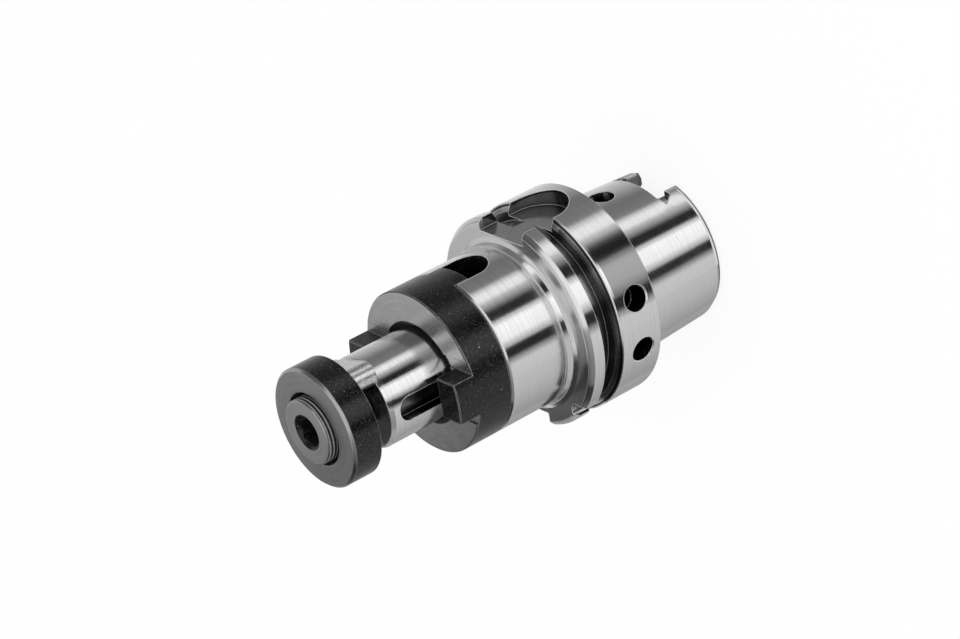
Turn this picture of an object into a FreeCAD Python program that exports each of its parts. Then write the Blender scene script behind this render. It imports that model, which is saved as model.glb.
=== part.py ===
# Combination shell mill arbor: hollow 1:10 taper shank with flange, bore size 27.
# The arbor stands on the rear rim of its shank. +Z runs up the axis to the screw head.
# +X points through the feather keyway of the spigot, +Y through the wide gripper slot.

import FreeCAD
import Part
import Sketcher
import os

V = FreeCAD.Vector

doc = FreeCAD.newDocument("ShellMillArbor")
sheet = doc.addObject("Spreadsheet::Sheet", "Sizes")
sheet.set("A1", "Size in mm or degrees")
sheet.set("B1", "Value")


# A size carries its number and the expression that binds features to the sheet.
class Size:
    def __init__(self, value, text):
        self.value = value
        self.text = text

    def __add__(self, other):
        other = as_size(other)
        return Size(self.value + other.value, f"({self.text} + {other.text})")

    def __sub__(self, other):
        other = as_size(other)
        return Size(self.value - other.value, f"({self.text} - {other.text})")

    def __mul__(self, other):
        other = as_size(other)
        return Size(self.value * other.value, f"({self.text} * {other.text})")

    def __truediv__(self, other):
        other = as_size(other)
        return Size(self.value / other.value, f"({self.text} / {other.text})")

    def __neg__(self):
        return Size(-self.value, f"(-1 * {self.text})")


def as_size(number):
    if isinstance(number, Size):
        return number
    return Size(float(number), repr(float(number)))


ZERO = as_size(0)
row_count = 1


def size(name, value):
    global row_count
    row_count += 1
    sheet.set(f"A{row_count}", name)
    sheet.set(f"B{row_count}", str(value))
    sheet.setAlias(f"B{row_count}", name)
    return Size(float(value), f"Sizes.{name}")


# Hollow taper shank, nominal size 63. Lengths run from the contact face of the flange.
shank_length = size("shank_length", 32)
taper_gauge_diameter = size("taper_gauge_diameter", 48.01)
taper_gauge_distance = size("taper_gauge_distance", 6.3)
taper_ratio = size("taper_ratio", 9.98)
shank_end_round = size("shank_end_round", 2.5)
relief_width = size("relief_width", 2.4)
relief_depth = size("relief_depth", 0.6)
relief_face_depth = size("relief_face_depth", 0.5)
relief_face_diameter = size("relief_face_diameter", 49.6)
shank_mouth_diameter = size("shank_mouth_diameter", 37)
shank_mouth_depth = size("shank_mouth_depth", 2)
shank_bore_diameter = size("shank_bore_diameter", 34)
clamp_shoulder_depth = size("clamp_shoulder_depth", 8)
clamp_shoulder_length = size("clamp_shoulder_length", 5.2)
clamp_groove_diameter = size("clamp_groove_diameter", 40)
shank_bore_depth = size("shank_bore_depth", 25.5)
coolant_thread_bore = size("coolant_thread_bore", 16.9)
coolant_thread_depth = size("coolant_thread_depth", 12)
coolant_duct_diameter = size("coolant_duct_diameter", 8)
access_hole_diameter = size("access_hole_diameter", 7.5)
access_hole_distance = size("access_hole_distance", 10.5)

# Two drive slots across the end of the shank. A flat breaks the taper beside them, and
# a pointed pocket in each corner lets the grinding wheel run out.
end_slot_width = size("end_slot_width", 16)
end_slot_deep = size("end_slot_deep", 10)
end_slot_shallow = size("end_slot_shallow", 8)
end_slot_flat_depth = size("end_slot_flat_depth", 3.2)
corner_pocket_depth = size("corner_pocket_depth", 4.6)
corner_pocket_reach = size("corner_pocket_reach", 4.8)
corner_pocket_length = size("corner_pocket_length", 4.6)
corner_pocket_rise = size("corner_pocket_rise", 1)

# Flange with gripper groove, gripper slots, orientation notch and balancing bores.
flange_diameter = size("flange_diameter", 63)
flange_width = size("flange_width", 26)
flange_chamfer = size("flange_chamfer", 1.4)
contact_chamfer = size("contact_chamfer", 0.5)
groove_distance = size("groove_distance", 17.6)
groove_depth = size("groove_depth", 5)
groove_flank_depth = size("groove_flank_depth", 2.3)
groove_root_width = size("groove_root_width", 4.4)
groove_top_width = size("groove_top_width", 7.05)
wide_slot_width = size("wide_slot_width", 18.5)
wide_slot_depth = size("wide_slot_depth", 5.1)
narrow_slot_width = size("narrow_slot_width", 16)
narrow_slot_depth = size("narrow_slot_depth", 5.3)
gripper_slot_end = size("gripper_slot_end", 3.2)
notch_width = size("notch_width", 5)
notch_depth = size("notch_depth", 3.4)
notch_angle = size("notch_angle", -45)
balance_bore_diameter = size("balance_bore_diameter", 7.4)
balance_bore_depth = size("balance_bore_depth", 7)
balance_bore_chamfer = size("balance_bore_chamfer", 0.4)
balance_bore_distance = size("balance_bore_distance", 6.8)
balance_bore_angle = size("balance_bore_angle", 14.6)

# Body between flange and drive ring.
body_diameter = size("body_diameter", 48)
body_front = size("body_front", 48)
body_chamfer = size("body_chamfer", 0.8)
flange_fillet = size("flange_fillet", 1.9)
witness_groove_distance = size("witness_groove_distance", 28.1)
witness_groove_width = size("witness_groove_width", 1.5)
witness_groove_depth = size("witness_groove_depth", 0.5)
ring_slot_depth = size("ring_slot_depth", 15)
ring_slot_floor = size("ring_slot_floor", 15)

# Spigot that locates the cutter, with keyway and tapped hole.
spigot_diameter = size("spigot_diameter", 27)
spigot_length = size("spigot_length", 33)
spigot_lead_length = size("spigot_lead_length", 1.4)
spigot_lead_depth = size("spigot_lead_depth", 0.7)
keyway_width = size("keyway_width", 7)
keyway_depth = size("keyway_depth", 4)
keyway_length = size("keyway_length", 22)
keyway_end_distance = size("keyway_end_distance", 3.1)
screw_thread = size("screw_thread", 12)
thread_clearance = size("thread_clearance", 0.05)
tapped_hole_depth = size("tapped_hole_depth", 40)
tapped_hole_chamfer = size("tapped_hole_chamfer", 0.8)

# Drive ring: two driving lugs in front, two tenons at the back.
ring_thickness = size("ring_thickness", 12)
ring_bore_clearance = size("ring_bore_clearance", 0.03)
ring_bore_chamfer = size("ring_bore_chamfer", 1.7)
ring_edge_chamfer = size("ring_edge_chamfer", 0.4)
lug_width = size("lug_width", 12)
lug_height = size("lug_height", 6.3)
lug_inner_distance = size("lug_inner_distance", 15.8)
lug_chamfer = size("lug_chamfer", 0.3)
lug_undercut_width = size("lug_undercut_width", 3.4)
lug_undercut_depth = size("lug_undercut_depth", 0.5)
tenon_length = size("tenon_length", 5)
tenon_clearance = size("tenon_clearance", 0.1)
tenon_chamfer = size("tenon_chamfer", 0.6)

# Loose feather key, stored between spigot and clamping disc beside the screw.
feather_key_width = size("feather_key_width", 7)
feather_key_height = size("feather_key_height", 7)
feather_key_length = size("feather_key_length", 22)
feather_key_shift = size("feather_key_shift", 2.2)
feather_key_angle = size("feather_key_angle", 15.6)
feather_key_gap = size("feather_key_gap", 0.1)

# Clamping disc and its low head socket screw.
disc_diameter = size("disc_diameter", 35)
disc_thickness = size("disc_thickness", 9)
disc_front_chamfer = size("disc_front_chamfer", 0.7)
disc_recess_diameter = size("disc_recess_diameter", 21.5)
disc_recess_depth = size("disc_recess_depth", 5.2)
disc_hole_clearance = size("disc_hole_clearance", 0.5)
screw_head_diameter = size("screw_head_diameter", 19)
screw_head_height = size("screw_head_height", 7.6)
screw_head_chamfer = size("screw_head_chamfer", 0.35)
screw_length = size("screw_length", 32)
socket_width = size("socket_width", 8)
socket_depth = size("socket_depth", 5)
socket_chamfer = size("socket_chamfer", 1.3)
socket_turn = size("socket_turn", 43)

doc.recompute()

# Heights above the rear rim of the shank.
contact_z = shank_length
flange_front_z = contact_z + flange_width
body_front_z = contact_z + body_front
ring_front_z = body_front_z + ring_thickness
spigot_end_z = body_front_z + spigot_length
disc_back_z = spigot_end_z + feather_key_height + feather_key_gap
disc_front_z = disc_back_z + disc_thickness
head_seat_z = disc_front_z - disc_recess_depth
head_top_z = head_seat_z + screw_head_height
screw_end_z = head_seat_z - screw_length

body_radius = body_diameter / 2
spigot_radius = spigot_diameter / 2
flange_radius = flange_diameter / 2
taper_gauge_radius = taper_gauge_diameter / 2
thread_radius = screw_thread / 2


# Radius of the taper at a distance behind the contact face.
def taper_radius(distance):
    return taper_gauge_radius - (distance - taper_gauge_distance) / taper_ratio / 2


def plane_of(body, role):
    for feature in body.Origin.OriginFeatures:
        if feature.Role == role:
            return feature


def new_body(label):
    body = doc.addObject("PartDesign::Body", label)
    body.Label = label
    return body


# An empty sketch on one of the body's own planes, moved along the plane's normal.
def new_sketch(body, label, role, offset=ZERO):
    sketch = body.newObject("Sketcher::SketchObject", label)
    sketch.AttachmentSupport = [(plane_of(body, role), "")]
    sketch.MapMode = "FlatFace"
    sketch.AttachmentOffset = FreeCAD.Placement(V(0, 0, offset.value), FreeCAD.Rotation())
    if offset is not ZERO:
        sketch.setExpression("AttachmentOffset.Base.z", offset.text)
    return sketch


def bind(sketch, constraint, target):
    index = sketch.addConstraint(constraint)
    if target is not None:
        sketch.setExpression(f"Constraints[{index}]", target.text)
    return index


# Places one point of an edge at named distances from the sketch origin.
def pin_point(sketch, edge, end, x, y):
    if x is ZERO:
        sketch.addConstraint(Sketcher.Constraint("PointOnObject", edge, end, -2))
    else:
        bind(sketch, Sketcher.Constraint("DistanceX", -1, 1, edge, end, x.value), x)
    if y is ZERO:
        sketch.addConstraint(Sketcher.Constraint("PointOnObject", edge, end, -1))
    else:
        bind(sketch, Sketcher.Constraint("DistanceY", -1, 1, edge, end, y.value), y)


# Adds a closed outline of straight edges through the given points.
def add_outline(sketch, points):
    first = sketch.GeometryCount
    count = len(points)
    for i in range(count):
        a = points[i]
        b = points[(i + 1) % count]
        line = Part.LineSegment(V(a[0].value, a[1].value, 0), V(b[0].value, b[1].value, 0))
        sketch.addGeometry(line, False)
    for i in range(count):
        following = first + (i + 1) % count
        sketch.addConstraint(Sketcher.Constraint("Coincident", first + i, 2, following, 1))
    for i in range(count):
        pin_point(sketch, first + i, 1, points[i][0], points[i][1])


def add_circle(sketch, x, y, radius):
    circle = Part.Circle(V(x.value, y.value, 0), V(0, 0, 1), radius.value)
    edge = sketch.addGeometry(circle, False)
    bind(sketch, Sketcher.Constraint("Radius", edge, radius.value), radius)
    pin_point(sketch, edge, 3, x, y)
    return edge


# Adds a slot outline along the sketch's Y axis, round at its lower end.
# With round_top it is round at both ends, otherwise it is square at the top.
def add_slot(sketch, centre_x, low, high, width, round_top):
    half = width / 2
    left = centre_x - half
    right = centre_x + half
    low_centre = low + half
    upper = high - half if round_top else high
    a = V(left.value, upper.value, 0)
    b = V(left.value, low_centre.value, 0)
    c = V(right.value, low_centre.value, 0)
    d = V(right.value, upper.value, 0)
    bottom = V(centre_x.value, low.value, 0)
    side_left = sketch.addGeometry(Part.LineSegment(a, b), False)
    arc_low = sketch.addGeometry(Part.Arc(b, bottom, c), False)
    side_right = sketch.addGeometry(Part.LineSegment(c, d), False)
    sketch.addConstraint(Sketcher.Constraint("Tangent", side_left, 2, arc_low, 1))
    sketch.addConstraint(Sketcher.Constraint("Tangent", side_right, 1, arc_low, 2))
    sketch.addConstraint(Sketcher.Constraint("Vertical", side_left))
    pin_point(sketch, arc_low, 3, centre_x, low_centre)
    bind(sketch, Sketcher.Constraint("Radius", arc_low, half.value), half)
    if round_top:
        top = V(centre_x.value, high.value, 0)
        arc_high = sketch.addGeometry(Part.Arc(d, top, a), False)
        sketch.addConstraint(Sketcher.Constraint("Tangent", side_right, 2, arc_high, 1))
        sketch.addConstraint(Sketcher.Constraint("Tangent", side_left, 1, arc_high, 2))
        bind(sketch, Sketcher.Constraint("DistanceY", -1, 1, arc_high, 3, upper.value), upper)
    else:
        lid = sketch.addGeometry(Part.LineSegment(d, a), False)
        sketch.addConstraint(Sketcher.Constraint("Coincident", side_right, 2, lid, 1))
        sketch.addConstraint(Sketcher.Constraint("Coincident", lid, 2, side_left, 1))
        sketch.addConstraint(Sketcher.Constraint("Horizontal", lid))
        bind(sketch, Sketcher.Constraint("DistanceY", -1, 1, lid, 1, upper.value), upper)


def revolve(body, label, sketch, cut=False):
    kind = "PartDesign::Groove" if cut else "PartDesign::Revolution"
    feature = body.newObject(kind, label)
    feature.Profile = sketch
    feature.ReferenceAxis = (sketch, ["V_Axis"])
    feature.Angle = 360
    sketch.Visibility = False
    doc.recompute()
    return feature


def pad(body, label, sketch, length, reverse=False):
    feature = body.newObject("PartDesign::Pad", label)
    feature.Profile = sketch
    feature.Length = length.value
    feature.setExpression("Length", length.text)
    feature.Reversed = reverse
    doc.recompute()
    return feature


# Cuts a sketch along or against its normal, and checks that material went away.
def pocket(body, label, sketch, length, along_normal):
    before = body.Shape.Volume
    feature = body.newObject("PartDesign::Pocket", label)
    feature.Profile = sketch
    feature.Length = length.value
    feature.setExpression("Length", length.text)
    feature.Reversed = along_normal
    doc.recompute()
    removed = before - body.Shape.Volume
    if removed <= 0:
        raise RuntimeError(f"{label} removes nothing")
    print(f"{label}: {removed:.1f} cubic mm cut")
    return feature


# Repeats features at equal turns about the axis of the arbor.
def turn_pattern(body, label, originals, count):
    pattern = body.newObject("PartDesign::PolarPattern", label)
    pattern.Originals = originals
    pattern.Axis = (plane_of(body, "Z_Axis"), [""])
    pattern.Angle = 360
    pattern.Occurrences = count
    body.Tip = pattern
    doc.recompute()
    return pattern


# Names of the edges of the body's last shape that pass a test.
def edge_names(body, test):
    names = []
    for number, edge in enumerate(body.Tip.Shape.Edges, start=1):
        if test(edge):
            names.append(f"Edge{number}")
    return names


def chamfer(body, label, names, amount):
    feature = body.newObject("PartDesign::Chamfer", label)
    feature.Base = (feature.BaseFeature, names)
    feature.Size = amount.value
    feature.setExpression("Size", amount.text)
    doc.recompute()
    return feature


# Arbor body: shank, flange, body and spigot are one ground steel piece.
arbor_body = new_body("arbor_body")

relief_low = contact_z - relief_width
relief_face_radius = relief_face_diameter / 2
groove_z = contact_z + groove_distance
witness_z = contact_z + witness_groove_distance
groove_root_radius = flange_radius - groove_depth
groove_neck_radius = flange_radius - groove_flank_depth
lead_radius = spigot_radius - spigot_lead_depth
hole_radius = thread_radius + thread_clearance
tapped_bottom_z = spigot_end_z - tapped_hole_depth
coolant_top_z = shank_bore_depth + coolant_thread_depth
coolant_radius = coolant_thread_bore / 2
duct_radius = coolant_duct_diameter / 2
shoulder_top_z = clamp_shoulder_depth + clamp_shoulder_length
clamp_groove_radius = clamp_groove_diameter / 2
relief_radius = taper_radius(relief_width) - relief_depth
shank_end_radius = taper_radius(shank_length)

# Roundings are turned as two chamfers each, whose middle lies on the round.
middle = 1 - 0.5 ** 0.5
section = new_sketch(arbor_body, "arbor_section", "XZ_Plane")
add_outline(section, [
    (shank_mouth_diameter / 2, ZERO),
    (shank_end_radius - shank_end_round, ZERO),
    (shank_end_radius - shank_end_round * middle, shank_end_round * middle),
    (taper_radius(shank_length - shank_end_round), shank_end_round),
    (taper_radius(relief_width), relief_low),
    (relief_radius, relief_low + relief_depth),
    (relief_radius, contact_z + relief_face_depth),
    (relief_face_radius, contact_z + relief_face_depth),
    (relief_face_radius, contact_z),
    (flange_radius - contact_chamfer, contact_z),
    (flange_radius, contact_z + contact_chamfer),
    (flange_radius, groove_z - groove_top_width / 2),
    (groove_neck_radius, groove_z - groove_root_width / 2),
    (groove_root_radius, groove_z - groove_root_width / 2),
    (groove_root_radius, groove_z + groove_root_width / 2),
    (groove_neck_radius, groove_z + groove_root_width / 2),
    (flange_radius, groove_z + groove_top_width / 2),
    (flange_radius, flange_front_z - flange_chamfer),
    (flange_radius - flange_chamfer, flange_front_z),
    (body_radius + flange_fillet, flange_front_z),
    (body_radius + flange_fillet * middle, flange_front_z + flange_fillet * middle),
    (body_radius, flange_front_z + flange_fillet),
    (body_radius, witness_z),
    (body_radius - witness_groove_depth, witness_z),
    (body_radius - witness_groove_depth, witness_z + witness_groove_width),
    (body_radius, witness_z + witness_groove_width),
    (body_radius, body_front_z - body_chamfer),
    (body_radius - body_chamfer, body_front_z),
    (spigot_radius, body_front_z),
    (spigot_radius, spigot_end_z - spigot_lead_length),
    (lead_radius, spigot_end_z),
    (hole_radius + tapped_hole_chamfer, spigot_end_z),
    (hole_radius, spigot_end_z - tapped_hole_chamfer),
    (hole_radius, tapped_bottom_z),
    (duct_radius, tapped_bottom_z),
    (duct_radius, coolant_top_z),
    (coolant_radius, coolant_top_z),
    (coolant_radius, shank_bore_depth),
    (clamp_groove_radius, shank_bore_depth),
    (clamp_groove_radius, shoulder_top_z),
    (shank_bore_diameter / 2, clamp_shoulder_depth),
    (shank_bore_diameter / 2, shank_mouth_depth),
])
revolve(arbor_body, "arbor_turned", section)

# Gripper slots run in from the front face and end in a half circle.
wide_slot_floor = flange_radius - wide_slot_depth
narrow_slot_floor = flange_radius - narrow_slot_depth
slot_low = contact_z + gripper_slot_end
over_front = flange_front_z + 1
slot_reach = flange_radius - wide_slot_floor + 1
sketch = new_sketch(arbor_body, "wide_slot_outline", "XZ_Plane", -wide_slot_floor)
add_slot(sketch, ZERO, slot_low, over_front, wide_slot_width, False)
pocket(arbor_body, "wide_gripper_slot", sketch, slot_reach, False)
slot_reach = flange_radius - narrow_slot_floor + 1
sketch = new_sketch(arbor_body, "narrow_slot_outline", "XZ_Plane", narrow_slot_floor)
add_slot(sketch, ZERO, slot_low, over_front, narrow_slot_width, False)
pocket(arbor_body, "narrow_gripper_slot", sketch, slot_reach, True)

# Orientation notch across the front land, turned off the slots by its own angle.
notch_low = groove_z
sketch = new_sketch(arbor_body, "notch_outline", "XY_Plane", notch_low)
sketch.setExpression("AttachmentOffset.Rotation.Angle", notch_angle.text)
add_circle(sketch, flange_radius + notch_width / 2 - notch_depth, ZERO, notch_width / 2)
pocket(arbor_body, "orientation_notch", sketch, flange_width, True)

# Slots for the ring's tenons in the front of the body, made with one round cutter.
sketch = new_sketch(arbor_body, "ring_slot_outline", "XZ_Plane", -ring_slot_floor)
ring_slot_low = body_front_z - ring_slot_depth
ring_slot_width = lug_width + tenon_clearance * 2
add_slot(sketch, ZERO, ring_slot_low, body_front_z + 1, ring_slot_width, False)
ring_slot_reach = body_radius - ring_slot_floor + 1
ring_slot = pocket(arbor_body, "ring_slot", sketch, ring_slot_reach, False)
turn_pattern(arbor_body, "ring_slots", [ring_slot], 2)

# Keyway in the spigot, round at both ends.
keyway_high = spigot_end_z - keyway_end_distance
sketch = new_sketch(arbor_body, "keyway_outline", "YZ_Plane", spigot_radius - keyway_depth)
add_slot(sketch, ZERO, keyway_high - keyway_length, keyway_high, keyway_width, True)
pocket(arbor_body, "spigot_keyway", sketch, keyway_depth + 1, True)


# Drive slot through one wall of the shank end, with its flats and corner pockets.
def cut_end_slot(label, depth, along_normal):
    half = end_slot_width / 2
    under = -as_size(1)
    side = 1 if along_normal else -1
    outline = new_sketch(arbor_body, label + "_outline", "XZ_Plane")
    add_outline(outline, [(-half, under), (half, under), (half, depth), (-half, depth)])
    pocket(arbor_body, label, outline, taper_gauge_radius + 1, along_normal)
    flat = (taper_gauge_radius - end_slot_flat_depth) * side
    wide = half + corner_pocket_reach
    outline = new_sketch(arbor_body, label + "_flat_outline", "XZ_Plane", flat)
    add_outline(outline, [(-wide, under), (wide, under), (wide, depth), (-wide, depth)])
    pocket(arbor_body, label + "_flat", outline, end_slot_flat_depth + 1, along_normal)
    floor = (taper_gauge_radius - corner_pocket_depth) * side
    tip_z = depth - corner_pocket_rise
    end_z = depth - corner_pocket_length
    outline = new_sketch(arbor_body, label + "_corner_outline", "XZ_Plane", floor)
    add_outline(outline, [
        (-half, depth),
        (-wide, tip_z),
        (-half - corner_pocket_reach / 2, end_z),
        (half + corner_pocket_reach / 2, end_z),
        (wide, tip_z),
        (half, depth),
    ])
    pocket(arbor_body, label + "_corners", outline, corner_pocket_depth + 1, along_normal)


cut_end_slot("deep_end_slot", end_slot_deep, False)
cut_end_slot("shallow_end_slot", end_slot_shallow, True)

# Access hole drilled right across the shank.
sketch = new_sketch(arbor_body, "access_outline", "XZ_Plane", -taper_gauge_radius - 1)
add_circle(sketch, ZERO, contact_z - access_hole_distance, access_hole_diameter / 2)
pocket(arbor_body, "access_hole", sketch, taper_gauge_diameter + 2, True)

# Two balancing bores in the rear land of the flange, on the side of the keyway.
bore_z = contact_z + balance_bore_distance
bore_radius = balance_bore_diameter / 2
for side, name in ((1, "left"), (-1, "right")):
    sketch = new_sketch(arbor_body, name + "_balance_outline", "XZ_Plane")
    rotation = FreeCAD.Rotation(V(0, 1, 0), 0)
    sketch.AttachmentOffset = FreeCAD.Placement(V(0, bore_z.value, 0), rotation)
    sketch.setExpression("AttachmentOffset.Base.y", bore_z.text)
    sketch.setExpression("AttachmentOffset.Rotation.Angle", (balance_bore_angle * side).text)
    sketch.setExpression("AttachmentOffset.Rotation.Axis.y", "1")
    inner = flange_radius - balance_bore_depth
    add_outline(sketch, [
        (inner, ZERO),
        (inner, bore_radius),
        (flange_radius - balance_bore_chamfer, bore_radius),
        (flange_radius + 1, bore_radius + balance_bore_chamfer + 1),
        (flange_radius + 1, ZERO),
    ])
    bore = arbor_body.newObject("PartDesign::Groove", name + "_balance_bore")
    bore.Profile = sketch
    bore.ReferenceAxis = (sketch, ["H_Axis"])
    bore.Angle = 360
    doc.recompute()

# Drive ring: turned ring with lugs and tenons milled from it.
drive_ring = new_body("drive_ring")
bore = spigot_radius + ring_bore_clearance
section = new_sketch(drive_ring, "ring_section", "XZ_Plane")
add_outline(section, [
    (bore, body_front_z),
    (body_radius - ring_edge_chamfer, body_front_z),
    (body_radius, body_front_z + ring_edge_chamfer),
    (body_radius, ring_front_z - ring_edge_chamfer),
    (body_radius - ring_edge_chamfer, ring_front_z),
    (bore + ring_bore_chamfer, ring_front_z),
    (bore, ring_front_z - ring_bore_chamfer),
])
revolve(drive_ring, "ring_turned", section)


# Outline of a lug or tenon: flat inside and at the sides, round with the ring outside.
def add_lug_outline(sketch, inner, outer, width):
    half = width / 2
    reach = (outer.value ** 2 - half.value ** 2) ** 0.5
    a = V(inner.value, -half.value, 0)
    b = V(reach, -half.value, 0)
    c = V(reach, half.value, 0)
    d = V(inner.value, half.value, 0)
    low = sketch.addGeometry(Part.LineSegment(a, b), False)
    arc = sketch.addGeometry(Part.Arc(b, V(outer.value, 0, 0), c), False)
    high = sketch.addGeometry(Part.LineSegment(c, d), False)
    back = sketch.addGeometry(Part.LineSegment(d, a), False)
    sketch.addConstraint(Sketcher.Constraint("Coincident", low, 2, arc, 1))
    sketch.addConstraint(Sketcher.Constraint("Coincident", arc, 2, high, 1))
    sketch.addConstraint(Sketcher.Constraint("Coincident", high, 2, back, 1))
    sketch.addConstraint(Sketcher.Constraint("Coincident", back, 2, low, 1))
    sketch.addConstraint(Sketcher.Constraint("Coincident", arc, 3, -1, 1))
    sketch.addConstraint(Sketcher.Constraint("Horizontal", low))
    sketch.addConstraint(Sketcher.Constraint("Horizontal", high))
    sketch.addConstraint(Sketcher.Constraint("Vertical", back))
    bind(sketch, Sketcher.Constraint("Radius", arc, outer.value), outer)
    bind(sketch, Sketcher.Constraint("DistanceX", -1, 1, back, 1, inner.value), inner)
    bind(sketch, Sketcher.Constraint("DistanceY", low, 2, -1, 1, half.value), half)
    bind(sketch, Sketcher.Constraint("DistanceY", -1, 1, high, 1, half.value), half)


sketch = new_sketch(drive_ring, "lug_outline", "XY_Plane", ring_front_z - ring_edge_chamfer)
add_lug_outline(sketch, lug_inner_distance, body_radius, lug_width)
lug = pad(drive_ring, "lug", sketch, lug_height + ring_edge_chamfer)
turn_pattern(drive_ring, "lugs", [lug], 2)

# Shallow undercuts in the ring's face along both sides of each lug.
undercut_z = ring_front_z - lug_undercut_depth
inner_y = lug_width / 2
outer_y = inner_y + lug_undercut_width
for side, name in ((1, "left"), (-1, "right")):
    sketch = new_sketch(drive_ring, name + "_undercut_outline", "XY_Plane", undercut_z)
    add_outline(sketch, [
        (spigot_radius / 2, inner_y * side),
        (body_radius + 1, inner_y * side),
        (body_radius + 1, outer_y * side),
        (spigot_radius / 2, outer_y * side),
    ])
    cut = pocket(drive_ring, name + "_undercut", sketch, lug_undercut_depth + 1, True)
    turn_pattern(drive_ring, name + "_undercuts", [cut], 2)

tenon_root_z = body_front_z + ring_edge_chamfer
sketch = new_sketch(drive_ring, "tenon_outline", "XY_Plane", tenon_root_z)
sketch.AttachmentOffset = FreeCAD.Placement(
    V(0, 0, tenon_root_z.value), FreeCAD.Rotation(V(0, 0, 1), 90))
sketch.setExpression("AttachmentOffset.Base.z", tenon_root_z.text)
add_lug_outline(sketch, ring_slot_floor + tenon_clearance, body_radius, lug_width)
tenon = pad(drive_ring, "tenon", sketch, tenon_length + ring_edge_chamfer, True)
turn_pattern(drive_ring, "tenons", [tenon], 2)


def is_at_height(edge, height):
    return all(abs(vertex.Z - height.value) < 1e-4 for vertex in edge.Vertexes)


lug_top_z = ring_front_z + lug_height
names = edge_names(drive_ring, lambda edge: is_at_height(edge, lug_top_z))
chamfer(drive_ring, "lug_edges", names, lug_chamfer)
tenon_end_z = body_front_z - tenon_length
names = edge_names(drive_ring, lambda edge: is_at_height(edge, tenon_end_z))
chamfer(drive_ring, "tenon_edges", names, tenon_chamfer)

# Feather key, round ends, lying flat on the end of the spigot beside the screw.
feather_key = new_body("feather_key")
sketch = new_sketch(feather_key, "key_outline", "XY_Plane", spigot_end_z)
turn = FreeCAD.Rotation(V(0, 0, 1), feather_key_angle.value - 90)
sketch.AttachmentOffset = FreeCAD.Placement(V(0, 0, spigot_end_z.value), turn)
sketch.setExpression("AttachmentOffset.Base.z", spigot_end_z.text)
sketch.setExpression("AttachmentOffset.Rotation.Angle", (feather_key_angle - 90).text)
key_centre = -(hole_radius + feather_key_width / 2)
key_low = feather_key_shift - feather_key_length / 2
key_high = feather_key_shift + feather_key_length / 2
add_slot(sketch, key_centre, key_low, key_high, feather_key_width, True)
pad(feather_key, "key_blank", sketch, feather_key_height)

# Clamping disc with a recess for the screw head.
clamping_disc = new_body("clamping_disc")
recess_radius = disc_recess_diameter / 2
disc_radius = disc_diameter / 2
disc_bore = thread_radius + disc_hole_clearance
section = new_sketch(clamping_disc, "disc_section", "XZ_Plane")
add_outline(section, [
    (disc_bore, disc_back_z),
    (disc_radius, disc_back_z),
    (disc_radius, disc_front_z - disc_front_chamfer),
    (disc_radius - disc_front_chamfer, disc_front_z),
    (recess_radius, disc_front_z),
    (recess_radius, head_seat_z),
    (disc_bore, head_seat_z),
])
revolve(clamping_disc, "disc_turned", section)

# Clamping screw, thread drawn as its outer cylinder.
clamping_screw = new_body("clamping_screw")
head_radius = screw_head_diameter / 2
section = new_sketch(clamping_screw, "screw_section", "XZ_Plane")
add_outline(section, [
    (ZERO, screw_end_z),
    (thread_radius, screw_end_z),
    (thread_radius, head_seat_z),
    (head_radius, head_seat_z),
    (head_radius, head_top_z - screw_head_chamfer),
    (head_radius - screw_head_chamfer, head_top_z),
    (ZERO, head_top_z),
])
revolve(clamping_screw, "screw_turned", section)

# Hexagon socket, turned so that its first corner stands 43 degrees from the X axis.
sketch = new_sketch(clamping_screw, "socket_outline", "XY_Plane", head_top_z)
turn = FreeCAD.Rotation(V(0, 0, 1), socket_turn.value)
sketch.AttachmentOffset = FreeCAD.Placement(sketch.AttachmentOffset.Base, turn)
sketch.setExpression("AttachmentOffset.Rotation.Angle", socket_turn.text)
corner = socket_width / 1.7320508
apothem = socket_width / 2
add_outline(sketch, [
    (corner, ZERO),
    (corner / 2, apothem),
    (-corner / 2, apothem),
    (-corner, ZERO),
    (-corner / 2, -apothem),
    (corner / 2, -apothem),
])
pocket(clamping_screw, "socket", sketch, socket_depth, False)
section = new_sketch(clamping_screw, "socket_chamfer_section", "XZ_Plane")
mouth = apothem + socket_chamfer
add_outline(section, [
    (ZERO, head_top_z),
    (mouth, head_top_z),
    (ZERO, head_top_z - mouth),
])
revolve(clamping_screw, "socket_chamfer_cut", section, True)

doc.recompute()

# Check every feature and write one file for each piece.
for item in doc.Objects:
    if "Invalid" in item.State or "Error" in item.State:
        raise RuntimeError(f"{item.Label} is {item.State}")

os.makedirs("parts", exist_ok=True)
for body in (arbor_body, drive_ring, feather_key, clamping_disc, clamping_screw):
    shape = body.Shape
    if shape.isNull() or not shape.isValid() or len(shape.Solids) != 1:
        raise RuntimeError(f"{body.Label} is not one valid solid")
    box = shape.BoundBox
    print(f"{body.Label}: {shape.Volume:.0f} cubic mm, z {box.ZMin:.2f} to {box.ZMax:.2f}")
    shape.exportStep(f"parts/{body.Label}.step")
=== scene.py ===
# %% [markdown]
# Combination shell mill arbor: a hollow taper shank, a gripper flange and a short
# spigot with a black drive ring, closed by a black disc and a socket screw.
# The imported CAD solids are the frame. They already have the right shape, so most
# of this lesson is about ground steel, black oxide and the light that shows them.

# %% Load the frame
import functools
import math
import bmesh
import bpy
from mathutils import Matrix, Vector


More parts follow.
